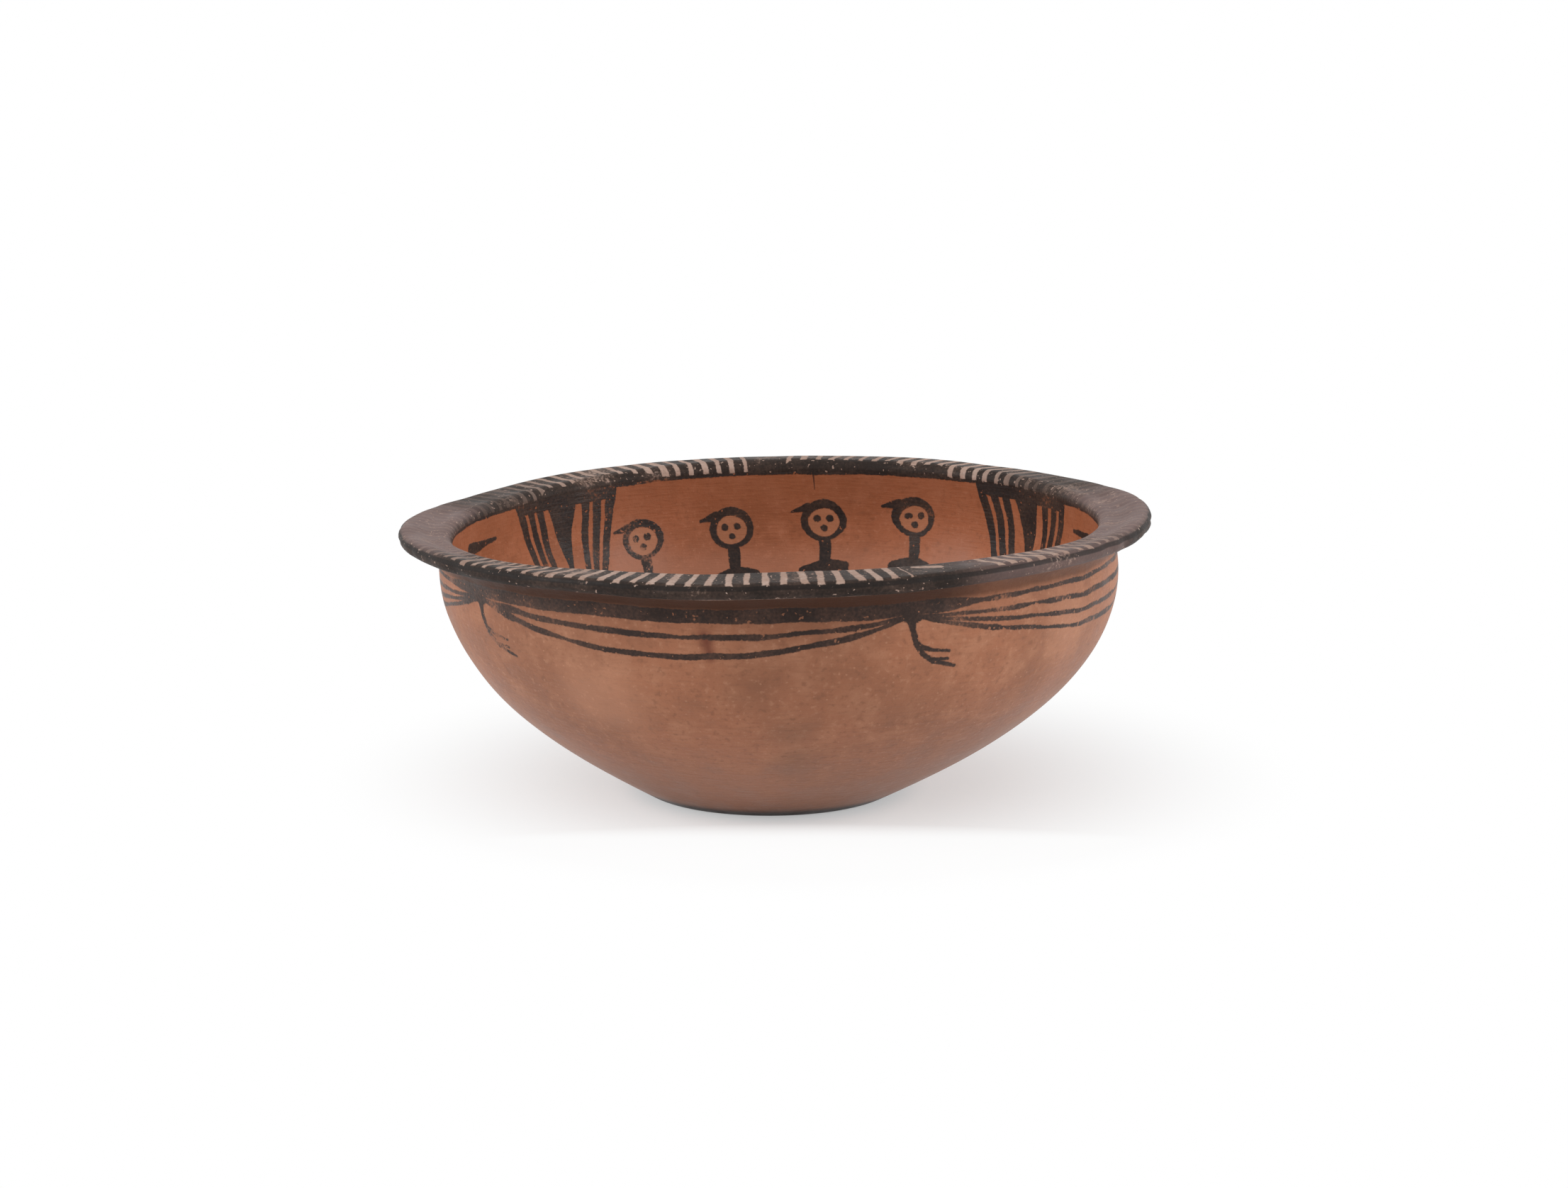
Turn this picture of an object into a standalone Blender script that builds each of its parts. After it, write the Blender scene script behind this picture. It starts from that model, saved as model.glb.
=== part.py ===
"""Earthenware basin: a hand-built open bowl with a flat base and a broad, turned-out rim.

The pieces are the members of clay that the potter joins while they are leather-hard: a flat
base disc, a foot coil laid round its bevelled edge, more coils laid one on the other and scraped
to a thin wall, and a last, thick coil turned outward as the rim flange. Each joint in the wall is
a slanted lap, low on the inside and high on the outside, with a thin film of slip between.

Units are metres, +Z is up, and the origin is on the ground under the middle of the rim.
"""

import math

import bpy
import numpy as np
from mathutils import Vector
from mathutils.geometry import interpolate_bezier

# Overall sizes
RIM_DIAMETER = 0.290
HEIGHT = 0.110
BASE_DIAMETER = 0.093

# Clay thickness
WALL_THICKNESS = 0.006
BASE_THICKNESS = 0.008

# Run of the wall: it leaves the base at FOOT_ANGLE and stands upright at the neck
FOOT_ANGLE = math.radians(28.8)
FOOT_PULL = 0.0397
NECK_PULL = 0.0452
NECK_DROP = 0.0195
FOOT_ROUND = 0.012

# Width of the foot ring, from the edge of the base in to the flat floor
FOOT_WIDTH = 0.0105

# Rim flange
FLANGE_OVERHANG = 0.0143
FLANGE_FALL = 0.001
LIP_RADIUS = 0.003
THROAT_RADIUS = 0.0045
COVE_RADIUS = 0.007

# Coils and the lapped joints between them
COIL_COUNT = 7
FIRST_SEAM = 0.026
LAP = 0.004
SLIP_FILM = 0.0003

# Unevenness of the hand-built pot: the rim climbs towards +X and stands off the base's middle
RIM_CLIMB = math.radians(1.5)
RIM_LEAN = 0.002
CAGE_MARGIN = 0.010

# Resolution
SEGMENTS = 64
CURVE_SAMPLES = 240
COURSE_POINTS = 4
LIP_POINTS = 7
BEND_POINTS = 5
MERGE_DISTANCE = 0.00001

# Sizes that follow from those above
RIM_RADIUS = RIM_DIAMETER / 2
BASE_RADIUS = BASE_DIAMETER / 2
FLOOR_RADIUS = BASE_RADIUS - FOOT_WIDTH
NECK_RADIUS = RIM_RADIUS - FLANGE_OVERHANG
NECK_HEIGHT = HEIGHT - NECK_DROP
LIP_HEIGHT = HEIGHT - FLANGE_FALL - LIP_RADIUS

# The slip film, measured along the wall or the floor instead of across the slanted joint
HALF_FILM = SLIP_FILM / 2 * math.hypot(1.0, LAP / WALL_THICKNESS)
FLOOR_FILM = SLIP_FILM * math.hypot(1.0, LAP / BASE_THICKNESS)


def outside_curve():
    """Points up the outside of the wall as rows of radius and height, from foot to neck."""
    foot = Vector((BASE_RADIUS, 0.0))
    neck = Vector((NECK_RADIUS, NECK_HEIGHT))
    foot_handle = foot + FOOT_PULL * Vector((math.cos(FOOT_ANGLE), math.sin(FOOT_ANGLE)))
    neck_handle = neck - Vector((0.0, NECK_PULL))
    points = interpolate_bezier(foot, foot_handle, neck_handle, neck, CURVE_SAMPLES)
    return np.array([point[:] for point in points])


OUTSIDE = outside_curve()
RUNS = np.concatenate([[0.0], np.cumsum(np.linalg.norm(np.diff(OUTSIDE, axis=0), axis=1))])
STEPS = np.gradient(OUTSIDE, axis=0)
SLOPES = np.arctan2(STEPS[:, 1], STEPS[:, 0])
INSIDE = OUTSIDE + WALL_THICKNESS * np.stack([-np.sin(SLOPES), np.cos(SLOPES)], axis=1)
NECK_RUN = RUNS[-1]
COURSE = (NECK_RUN - FIRST_SEAM) / (COIL_COUNT - 1)

# The floor sweeps up into the wall on an arc that is level at the floor and meets the wall where
# an arc from there would come down to the floor's edge
SWEEPS = (INSIDE[:, 1] - BASE_THICKNESS) / (1 - np.cos(SLOPES))
SWEEP_EDGES = INSIDE[:, 0] - SWEEPS * np.sin(SLOPES)
SWEEP_END = np.argmax((SWEEPS > 0) & (SWEEP_EDGES <= FLOOR_RADIUS))
SWEEP_RADIUS = SWEEPS[SWEEP_END]
SWEEP_SLOPE = SLOPES[SWEEP_END]
SWEEP_RUN = RUNS[SWEEP_END]
FLOOR_EDGE = SWEEP_EDGES[SWEEP_END]


def outside(run):
    """Point on the outside of the wall at this distance up from the foot."""
    return tuple(np.interp(run, RUNS, column) for column in OUTSIDE.T)


def inside(run):
    """Point across the wall from the outside at this run, or on the floor's sweep below it."""
    if run < SWEEP_RUN:
        turn = SWEEP_SLOPE * run / SWEEP_RUN
        rise = SWEEP_RADIUS * (1 - math.cos(turn))
        return (FLOOR_EDGE + SWEEP_RADIUS * math.sin(turn), BASE_THICKNESS + rise)
    return tuple(np.interp(run, RUNS, column) for column in INSIDE.T)


def arc(centre, radius, start, end, count):
    """Points on an arc of the profile, with angles in degrees from the outward direction."""
    turns = np.radians(np.linspace(start, end, count))
    return [(centre[0] + radius * math.cos(a), centre[1] + radius * math.sin(a)) for a in turns]


def base_profile():
    """Base disc, from the middle of its floor over the bevelled edge to the middle underneath."""
    edge = FLOOR_EDGE - FLOOR_FILM
    return [(0.0, BASE_THICKNESS), (edge, BASE_THICKNESS), (edge + LAP, 0.0), (0.0, 0.0)]


def foot_profile():
    """Section of the foot coil: down its outside, round the foot and up the base's bevel."""
    tangent = FOOT_ROUND * math.tan(FOOT_ANGLE / 2)
    down = np.linspace(FIRST_SEAM - HALF_FILM, tangent, COURSE_POINTS)[:-1]
    corner = (BASE_RADIUS - tangent, FOOT_ROUND)
    foot = arc(corner, FOOT_ROUND, -90 + math.degrees(FOOT_ANGLE), -90, BEND_POINTS)
    up = np.linspace(0.0, FIRST_SEAM - LAP - HALF_FILM, BEND_POINTS)
    bevel = [(FLOOR_EDGE + LAP, 0.0)]
    return [outside(run) for run in down] + foot + bevel + [inside(run) for run in up]


def coil_profile(course):
    """Section of one wall coil above the foot coil, down its outside and up its inside."""
    low = FIRST_SEAM + course * COURSE
    high = low + COURSE
    down = np.linspace(high - HALF_FILM, low + HALF_FILM, COURSE_POINTS)
    up = np.linspace(low - LAP + HALF_FILM, high - LAP - HALF_FILM, COURSE_POINTS)
    return [outside(run) for run in down] + [inside(run) for run in up]


def rim_profile():
    """Section of the rim: crest, lip, underside, cove, neck joint, throat and back to the crest."""
    lip_middle = (RIM_RADIUS - LIP_RADIUS, LIP_HEIGHT)
    lip = arc(lip_middle, LIP_RADIUS, 90, -90, LIP_POINTS)
    cove_middle = (NECK_RADIUS + COVE_RADIUS, LIP_HEIGHT - LIP_RADIUS - COVE_RADIUS)
    cove = arc(cove_middle, COVE_RADIUS, 90, 180, BEND_POINTS)
    joint = [(NECK_RADIUS, NECK_HEIGHT + HALF_FILM), inside(NECK_RUN - LAP + HALF_FILM)]
    throat_middle = (NECK_RADIUS - WALL_THICKNESS + THROAT_RADIUS, HEIGHT - THROAT_RADIUS)
    throat = arc(throat_middle, THROAT_RADIUS, 180, 90, BEND_POINTS)
    return lip + cove + joint + throat


def clay(name, colour, roughness):
    """Fired clay, bare or under painted slip."""
    material = bpy.data.materials.new(name)
    material.use_nodes = True
    shader = material.node_tree.nodes["Principled BSDF"]
    shader.inputs["Base Color"].default_value = (*colour, 1.0)
    shader.inputs["Roughness"].default_value = roughness
    shader.inputs["Metallic"].default_value = 0.0
    material.diffuse_color = (*colour, 1.0)
    return material


def turned_piece(name, profile, closed, material):
    """A piece turned about the basin's axis from a profile that runs down its outer side."""
    mesh = bpy.data.meshes.new(name)
    vertices = [(float(radius), 0.0, float(height)) for radius, height in profile]
    edges = [(i, i + 1) for i in range(len(vertices) - 1)]
    if closed:
        edges.append((len(vertices) - 1, 0))
    mesh.from_pydata(vertices, edges, [])
    mesh.materials.append(material)
    piece = bpy.data.objects.new(name, mesh)
    basin.objects.link(piece)
    piece.parent = stand

    turn = piece.modifiers.new("Turn", "SCREW")
    turn.axis = "Z"
    turn.angle = math.tau
    turn.steps = SEGMENTS
    turn.render_steps = SEGMENTS
    turn.use_merge_vertices = True
    turn.merge_threshold = MERGE_DISTANCE
    turn.use_smooth_shade = True

    uneven = piece.modifiers.new("Uneven", "LATTICE")
    uneven.object = cage
    return piece


def hand_built_cage():
    """Cage round the basin that tips its rim and leans it over, and leaves the ground plane flat."""
    lattice = bpy.data.lattices.new("hand_built_cage")
    for axis in "uvw":
        setattr(lattice, f"points_{axis}", 2)
        setattr(lattice, f"interpolation_type_{axis}", "KEY_LINEAR")
    guide = bpy.data.objects.new("hand_built_cage", lattice)
    guides.objects.link(guide)
    guide.parent = stand
    guide.hide_render = True
    guide.display_type = "WIRE"

    half_width = RIM_RADIUS + CAGE_MARGIN
    cage_height = HEIGHT + CAGE_MARGIN
    guide.location = (0.0, 0.0, cage_height / 2)
    guide.scale = (2 * half_width, 2 * half_width, cage_height)
    for point in lattice.points:
        share = (point.co[2] + 0.5) * cage_height / HEIGHT
        lean = RIM_LEAN * (share - 1)
        climb = math.tan(RIM_CLIMB) * share * point.co[0] * guide.scale[0]
        point.co_deform = (
            point.co[0] + lean / guide.scale[0],
            point.co[1],
            point.co[2] + climb / guide.scale[2],
        )
    return guide


for old in list(bpy.data.objects):
    bpy.data.objects.remove(old)

basin = bpy.data.collections.new("earthenware_basin")
guides = bpy.data.collections.new("earthenware_basin_guides")
bpy.context.scene.collection.children.link(basin)
bpy.context.scene.collection.children.link(guides)

stand = bpy.data.objects.new("basin_origin", None)
guides.objects.link(stand)
cage = hand_built_cage()

SMOKED_CLAY = (0.283, 0.122, 0.070)
BARE_CLAY = (0.392, 0.171, 0.107)
BANDED_CLAY = (0.130, 0.073, 0.055)
PAINTED_RIM = (0.072, 0.052, 0.046)
WALL_ROUGHNESS = 0.72
PAINT_ROUGHNESS = 0.55

turned_piece("base_disc", base_profile(), False, clay("base_clay", SMOKED_CLAY, WALL_ROUGHNESS))
turned_piece("wall_coil_1", foot_profile(), True, clay("coil_1_clay", SMOKED_CLAY, WALL_ROUGHNESS))
for number in range(2, COIL_COUNT + 1):
    under_rim = number == COIL_COUNT
    colour = BANDED_CLAY if under_rim else BARE_CLAY
    roughness = PAINT_ROUGHNESS if under_rim else WALL_ROUGHNESS
    finish = clay(f"coil_{number}_clay", colour, roughness)
    turned_piece(f"wall_coil_{number}", coil_profile(number - 2), True, finish)
turned_piece("rim_flange", rim_profile(), True, clay("rim_clay", PAINTED_RIM, PAINT_ROUGHNESS))
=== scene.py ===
"""Looks of the earthenware basin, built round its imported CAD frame."""

import math
from functools import reduce

import bpy
import numpy as np
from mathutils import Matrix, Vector, noise
from mathutils.geometry import interpolate_bezier


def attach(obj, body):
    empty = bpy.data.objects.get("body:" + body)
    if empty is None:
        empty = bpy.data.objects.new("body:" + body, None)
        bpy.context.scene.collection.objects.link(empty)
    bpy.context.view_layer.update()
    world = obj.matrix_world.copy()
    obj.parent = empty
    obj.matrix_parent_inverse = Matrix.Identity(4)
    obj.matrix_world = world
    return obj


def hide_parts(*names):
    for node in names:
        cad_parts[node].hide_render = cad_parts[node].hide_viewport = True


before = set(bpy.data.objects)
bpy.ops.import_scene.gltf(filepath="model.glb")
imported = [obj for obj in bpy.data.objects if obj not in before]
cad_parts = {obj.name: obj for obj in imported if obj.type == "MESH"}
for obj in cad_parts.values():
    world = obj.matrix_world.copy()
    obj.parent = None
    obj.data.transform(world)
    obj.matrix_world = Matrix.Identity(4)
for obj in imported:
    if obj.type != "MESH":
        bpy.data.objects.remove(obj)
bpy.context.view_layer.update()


# Base disc
# A flat round of low-fired clay, pressed out by hand, with a bevelled edge that the foot coil is
# luted on. It is the first piece of the pot, so the unevenness that a hand leaves in every piece
# and the look of the fired clay are settled here.

MILLIMETRE = 0.001
HEIGHT = 0.110
BASE_THICKNESS = 0.008
FLOOR_EDGE = 0.036
LAP = 0.004
FLOOR_ROWS = 16
JOINT_ROWS = 3

COLUMNS = 288
TURNS = np.radians(np.arange(COLUMNS + 1) * 360.0 / COLUMNS - 180.0)
OUTWARD = np.stack([np.sin(TURNS[:-1]), -np.cos(TURNS[:-1])], axis=1)
GHOST = 0.0004
NO_LENGTH = 1e-12

RIM_RADIUS = 0.145
LIP_RADIUS = 0.003
LIP_MIDDLE = RIM_RADIUS - LIP_RADIUS
RIM_CLIMB = math.radians(1.5)
RIM_LEAN = 0.002
WALL_BOW = 0.0040
CREST_DIP = 0.0040
CREST_START = 0.092
CREST_RADIUS = 0.131
# Each dip: degrees from the front, half its width in degrees, and its depth
LIP_DIPS = ((128.0, 40.0, 0.0022), (-114.0, 36.0, 0.0022))
# Each swell: how many there are to a metre, and how far it reaches
SWELLS = ((14.0, 0.0011), (34.0, 0.0006), (80.0, 0.00022))
SWELL_CIRCLE = 0.1
WIDTH_SEED = Vector((0, 0, 0))
LIFT_SEED = Vector((7, 3, 5))
LIFT_SHARE = 0.8
NICK_PITCH = 120.0
NICK_START = 0.15
NICK_DEPTH = 0.0022
NICK_SPAN = 0.0025


def lip_dip(turn):
    """How far the lip droops at one turn round the pot."""
    spans = ((abs(math.degrees(turn) - middle) / half, depth) for middle, half, depth in LIP_DIPS)
    return sum(depth * (1 + math.cos(math.pi * min(1.0, span))) / 2 for span, depth in spans)


def swelling(spot, seed):
    """How far the clay swells at one spot; another seed gives another run of swells."""
    return sum(reach * noise.noise(spot * pitch + seed) for pitch, reach in SWELLS)


def hand_shaped(radius, height):
    """Ring of points at this radius and height, uneven as a hand-built pot is."""
    share = max(height, 0.0) / HEIGHT
    dip_up = np.clip((height - CREST_START) / (HEIGHT - CREST_START), 0.0, 1.0)
    dip_in = np.clip((LIP_MIDDLE - radius) / (LIP_MIDDLE - CREST_RADIUS), 0.0, 1.0)
    at_crest = dip_in ** 2 * (3 - 2 * dip_in)
    uneven = min(1.0, radius / FLOOR_EDGE)
    off_middle = RIM_LEAN * (share - 1) + WALL_BOW * math.sin(math.pi * share)
    lip = np.clip((radius - LIP_MIDDLE) / NICK_SPAN, 0.0, 1.0)
    ring = []
    for turn in TURNS[:-1]:
        spot = Vector((math.sin(turn) * SWELL_CIRCLE, -math.cos(turn) * SWELL_CIRCLE, height))
        lift = LIFT_SHARE * swelling(spot, LIFT_SEED)
        nick = lip * NICK_DEPTH * max(0.0, noise.noise(spot * NICK_PITCH) - NICK_START)
        wide = radius + swelling(spot, WIDTH_SEED) * uneven * share ** 0.5 - nick
        x = wide * math.sin(turn)
        climb = math.tan(RIM_CLIMB) * x * share
        dip = at_crest * CREST_DIP * math.sin(turn) ** 2 + (1 - at_crest) * lip_dip(turn)
        raised = height + climb - dip_up * dip + lift * uneven * share ** 2
        ring.append((x + off_middle, -wide * math.cos(turn), raised))
    return np.array(ring)


class Skin:
    """A stretch of a piece's section, with one ghost point past each end to bend its normals by.

    Each point is a radius, a height and a level, which counts up the skin for the painting.
    """

    def __init__(self, finish, points, inside=False):
        self.finish = finish
        self.inside = inside
        self.rings = [hand_shaped(radius, height) for radius, height, level in points]
        self.levels = [level / MILLIMETRE for radius, height, level in points][1:-1]

    def rows(self):
        """Rings of the stretch itself, without its ghosts."""
        return self.rings[1:-1]

    def normals(self, row):
        """Outward normals round one row, taken from the rows on both sides of it."""
        down = self.rings[row + 2] - self.rings[row]
        here = self.rings[row + 1]
        across = np.roll(here, -1, axis=0) - np.roll(here, 1, axis=0)
        normals = np.cross(down, across)
        lengths = np.linalg.norm(normals, axis=1, keepdims=True)
        outward = np.sum(down[:, :2] * OUTWARD, axis=1, keepdims=True)
        poles = np.concatenate([np.zeros((COLUMNS, 2)), np.where(outward > 0, 1.0, -1.0)], axis=1)
        return np.where(lengths > NO_LENGTH, normals / np.maximum(lengths, NO_LENGTH), poles)

    def angle(self, column, start):
        """Degrees round the pot: from the front on the outside, from the back on the inside."""
        turn = math.degrees(TURNS[column])
        if not self.inside:
            return turn
        return 180.0 - turn if start >= COLUMNS // 2 else -180.0 - turn


def into_scene(name, data):
    """Object in the scene that shows this mesh, lamp or camera."""
    thing = bpy.data.objects.new(name, data)
    bpy.context.scene.collection.objects.link(thing)
    return thing


def clay_piece(name, skins, closed=True):
    """One piece of the pot: its skins follow each other round its section, outside downwards.

    The section of a ring is closed, and that of the disc ends at the middle at both ends.
    """
    rings = []
    corners = []
    normals = []
    places = []
    finishes = []
    first_rows = []
    for skin in skins:
        first_rows.append(len(rings))
        rings.extend(skin.rows()[:-1])
    if not closed:
        rings.append(skins[-1].rows()[-1])
    poles = [bool(np.allclose(ring, ring[0])) for ring in rings]
    starts = np.concatenate([[0], np.cumsum([1 if pole else COLUMNS for pole in poles])])

    for first_row, skin in zip(first_rows, skins):
        for row in range(len(skin.rows()) - 1):
            upper = first_row + row
            lower = (upper + 1) % len(rings)
            upper_normals = skin.normals(row)
            lower_normals = skin.normals(row + 1)
            for column in range(COLUMNS):
                right = (column + 1) % COLUMNS
                loop = [
                    (upper, column, column, row, upper_normals),
                    (lower, column, column, row + 1, lower_normals),
                    (lower, right, column + 1, row + 1, lower_normals),
                    (upper, right, column + 1, row, upper_normals),
                ]
                if poles[upper]:
                    loop = loop[:3]
                elif poles[lower]:
                    loop = [loop[0], loop[1], loop[3]]
                face = [int(starts[ring] + side * (not poles[ring])) for ring, side, *rest in loop]
                corners.append(face)
                finishes.append(skin.finish)
                for ring, side, edge, level_row, side_normals in loop:
                    normals.append(side_normals[side])
                    places.append((skin.angle(edge, column), skin.levels[level_row]))

    points = [ring[:1] if pole else ring for ring, pole in zip(rings, poles)]
    mesh = bpy.data.meshes.new(name)
    mesh.from_pydata(np.concatenate(points).tolist(), [], corners)
    used = list(dict.fromkeys(finishes))
    for finish in used:
        mesh.materials.append(finish)
    mesh.polygons.foreach_set("material_index", [used.index(finish) for finish in finishes])
    mesh.polygons.foreach_set("use_smooth", [True] * len(corners))
    paint_map = mesh.uv_layers.new(name="paint_place")
    paint_map.data.foreach_set("uv", np.array(places, dtype=np.float32).ravel())
    mesh.normals_split_custom_set([tuple(normal) for normal in normals])
    mesh.update()

    piece = into_scene(name + "_clay", mesh)
    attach(piece, "root")
    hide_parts(name)


def straight(start, end, count):
    """Points on a straight stretch of section from start to end, with a ghost past each end."""
    start = np.array(start)
    end = np.array(end)
    ghost = GHOST * (end - start) / np.linalg.norm((end - start)[:2])
    inner = [start + (end - start) * share for share in np.linspace(0, 1, count)]
    return [tuple(point) for point in (start - ghost, *inner, end + ghost)]


class Amount:
    """A number that changes over the clay, so that marks on it can be written as plain sums."""

    def __init__(self, tree, socket):
        self.tree = tree
        self.socket = socket

    def step(self, operation, *others):
        """Outcome of one step of arithmetic on this and the others."""
        node = added(self.tree, "Math", dict(enumerate((self, *others))), operation=operation)
        return Amount(self.tree, node.outputs["Value"])

    def __add__(self, other):
        return self.step("ADD", other)

    def __sub__(self, other):
        return self.step("SUBTRACT", other)

    def __rsub__(self, other):
        return self.step("MULTIPLY_ADD", -1.0, other)

    def __mul__(self, other):
        return self.step("MULTIPLY", other)

    def __mod__(self, other):
        return self.step("FLOORED_MODULO", other)

    def __abs__(self):
        return self.step("ABSOLUTE")

    def __gt__(self, other):
        return self.step("GREATER_THAN", other)

    def ramp(self, low, high, start=0.0, end=1.0):
        """Smooth change from start to end while this goes from low to high."""
        values = {"Value": self, "From Min": low, "From Max": high, "To Min": start, "To Max": end}
        node = added(self.tree, "MapRange", values, interpolation_type="SMOOTHSTEP")
        return Amount(self.tree, node.outputs["Result"])


def feed(tree, place, value):
    """Links an amount or a socket to a node's input, or sets a plain value on it."""
    if isinstance(value, Amount):
        value = value.socket
    if isinstance(value, bpy.types.NodeSocket):
        tree.links.new(value, place)
    else:
        place.default_value = value


def added(tree, kind, values, **settings):
    """A new node of this kind with these settings, and these values on its inputs."""
    node = tree.nodes.new("ShaderNode" + kind)
    for setting, value in settings.items():
        setattr(node, setting, value)
    for place, value in values.items():
        feed(tree, node.inputs[place], value)
    return node


def amounts(node, *names):
    """These outputs of a node as amounts."""
    return [Amount(node.id_data, node.outputs[name]) for name in names]


def linear(red, green, blue):
    """Colour as read off a screen, from 0 to 255, as the shader's linear colour."""
    shares = [value / 255 for value in (red, green, blue)]
    return (*(s / 12.92 if s <= 0.04045 else ((s + 0.055) / 1.055) ** 2.4 for s in shares), 1.0)


MIX_INPUTS = ("Factor", 6, 7)
MIX_OUTCOME = 2


def mixed(tree, share, one, other):
    """Colour that goes from one to the other as the share goes from 0 to 1."""
    node = added(tree, "Mix", dict(zip(MIX_INPUTS, (share, one, other))), data_type="RGBA")
    return node.outputs[MIX_OUTCOME]


def layered(tree, colour, layers):
    """Colour with more colours laid over it in turn, each by its own share."""
    for share, over in layers:
        colour = mixed(tree, share, colour, over)
    return colour


def grain(tree, size, detail=2.0, stretch=(1.0, 1.0, 1.0)):
    """Cloudy noise whose patches are about this many millimetres across, from 0 to 1."""
    where = added(tree, "TexCoord", {}).outputs["Object"]
    shaped = added(tree, "Mapping", {"Vector": where, "Scale": stretch}).outputs["Vector"]
    scale = 1 / (size * MILLIMETRE)
    return added(tree, "TexNoise", {"Vector": shaped, "Scale": scale, "Detail": detail})


def grain_amount(tree, size, detail=2.0, stretch=(1.0, 1.0, 1.0)):
    """The same noise as an amount."""
    return Amount(tree, grain(tree, size, detail, stretch).outputs["Fac"])


def new_group(name, inputs, outputs):
    """Empty node group with these named colour and number sockets."""
    group = bpy.data.node_groups.new(name, "ShaderNodeTree")
    kinds = {"colour": "NodeSocketColor", "number": "NodeSocketFloat"}
    for in_out, sockets in (("INPUT", inputs), ("OUTPUT", outputs)):
        for socket, kind in sockets:
            group.interface.new_socket(name=socket, in_out=in_out, socket_type=kinds[kind])
    return group, group.nodes.new("NodeGroupInput"), group.nodes.new("NodeGroupOutput")


def placed(tree, group, values):
    """A node group placed in a finish, with these values on its inputs."""
    return added(tree, "Group", values, node_tree=group)


# Each noise in the clay: size of its patches, detail, and how it is stretched
CLAY_NOISES = {
    "clouds": (60.0, 4.0),
    "blotches": (11.0, 4.0),
    "scrapes": (9.0, 3.0, (1.0, 1.0, 9.0)),
    "pores": (0.7, 2.0),
    "specks": (2.3, 4.0),
}
CLAY_LAYERS = (
    ("clouds", (0.38, 0.66, 0.0, 0.55), "Smoked"),
    ("blotches", (0.42, 0.74, 0.0, 0.40), "Pale"),
    ("blotches", (0.26, 0.46, 0.34, 0.0), "Smoked"),
    ("scrapes", (0.50, 0.72, 0.0, 0.24), "Smoked"),
    ("specks", (0.54, 0.72, 0.0, 0.55), "Smoked"),
    ("specks", (0.28, 0.44, 0.40, 0.0), "Pale"),
    ("pores", (0.58, 0.74, 0.0, 0.35), "Smoked"),
)
CLAY_HEIGHTS = (("scrapes", 0.55), ("pores", 0.16), ("blotches", 0.5), ("specks", -0.3))
CLAY_ROUGHNESS = (0.3, 0.7, 0.56, 0.72)
PORE_ROUGHNESS = 0.2
TEMPER_PER_METRE = 420
TEMPER_GRAIN = (0.10, 0.22, 1.0, 0.0)
TEMPER_SKIPPED = 0.72
TEMPER_SHOW = 0.5
TEMPER_HEIGHT = 0.05


def temper_grains(tree):
    """Grains of temper: one inside a grain that shows, nothing elsewhere."""
    where = added(tree, "TexCoord", {}).outputs["Object"]
    temper = added(tree, "TexVoronoi", {"Vector": where, "Scale": TEMPER_PER_METRE})
    chosen = added(tree, "SeparateColor", {"Color": temper.outputs["Color"]})
    grains = Amount(tree, temper.outputs["Distance"]).ramp(*TEMPER_GRAIN)
    return grains * (Amount(tree, chosen.outputs["Red"]) > TEMPER_SKIPPED)


def fired_clay_group():
    """Low-fired clay: clouds from an open fire, scraping marks, pores and grains of temper."""
    group, given, out = new_group(
        "fired_clay",
        [("Warm", "colour"), ("Smoked", "colour"), ("Pale", "colour")],
        [("Color", "colour"), ("Roughness", "number"), ("Height", "number")],
    )
    noises = {name: grain_amount(group, *shape) for name, shape in CLAY_NOISES.items()}
    grains = temper_grains(group)
    layers = [(noises[name].ramp(*fade), given.outputs[colour]) for name, fade, colour in CLAY_LAYERS]
    layers.append((grains * TEMPER_SHOW, given.outputs["Pale"]))
    feed(group, out.inputs["Color"], layered(group, given.outputs["Warm"], layers))
    rough = noises["blotches"].ramp(*CLAY_ROUGHNESS) + (noises["pores"] - 0.5) * PORE_ROUGHNESS
    feed(group, out.inputs["Roughness"], rough)
    height = grains * TEMPER_HEIGHT
    for name, reach in CLAY_HEIGHTS:
        height = height + noises[name] * reach
    feed(group, out.inputs["Height"], height)
    return group


fired_clay = fired_clay_group()

CLAY_IOR = 1.45
CLAY_GLOSS = 0.25
SURFACE_STRENGTH = 0.6
CLAY_DEPTH = 0.5


def dull_shader(finish):
    """Gives a finish its nodes and the dull gloss of earthenware."""
    finish.use_nodes = True
    tree = finish.node_tree
    shader = tree.nodes["Principled BSDF"]
    shader.inputs["IOR"].default_value = CLAY_IOR
    shader.inputs["Specular IOR Level"].default_value = CLAY_GLOSS
    return tree, shader


def raise_surface(tree, shader, height, depth):
    """Feeds a height to the shader's normal, with this many millimetres to a height of one."""
    values = {"Strength": SURFACE_STRENGTH, "Distance": depth * MILLIMETRE, "Height": height}
    tree.links.new(added(tree, "Bump", values).outputs["Normal"], shader.inputs["Normal"])


BARE_CLAY = {"Warm": linear(158, 104, 80), "Smoked": linear(118, 80, 62), "Pale": linear(176, 126, 100)}


def leave_bare(finish):
    """Clay as it left the fire, under the base and inside the joints."""
    tree, shader = dull_shader(finish)
    body = placed(tree, fired_clay, BARE_CLAY)
    tree.links.new(body.outputs["Color"], shader.inputs["Base Color"])
    tree.links.new(body.outputs["Roughness"], shader.inputs["Roughness"])
    raise_surface(tree, shader, body.outputs["Height"], CLAY_DEPTH)


bare_clay = bpy.data.materials.new("bare_clay")
leave_bare(bare_clay)

# This finish goes up the whole inside, and gets its nodes where the inside is painted
painted_inside = bpy.data.materials.new("painted_inside")

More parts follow.
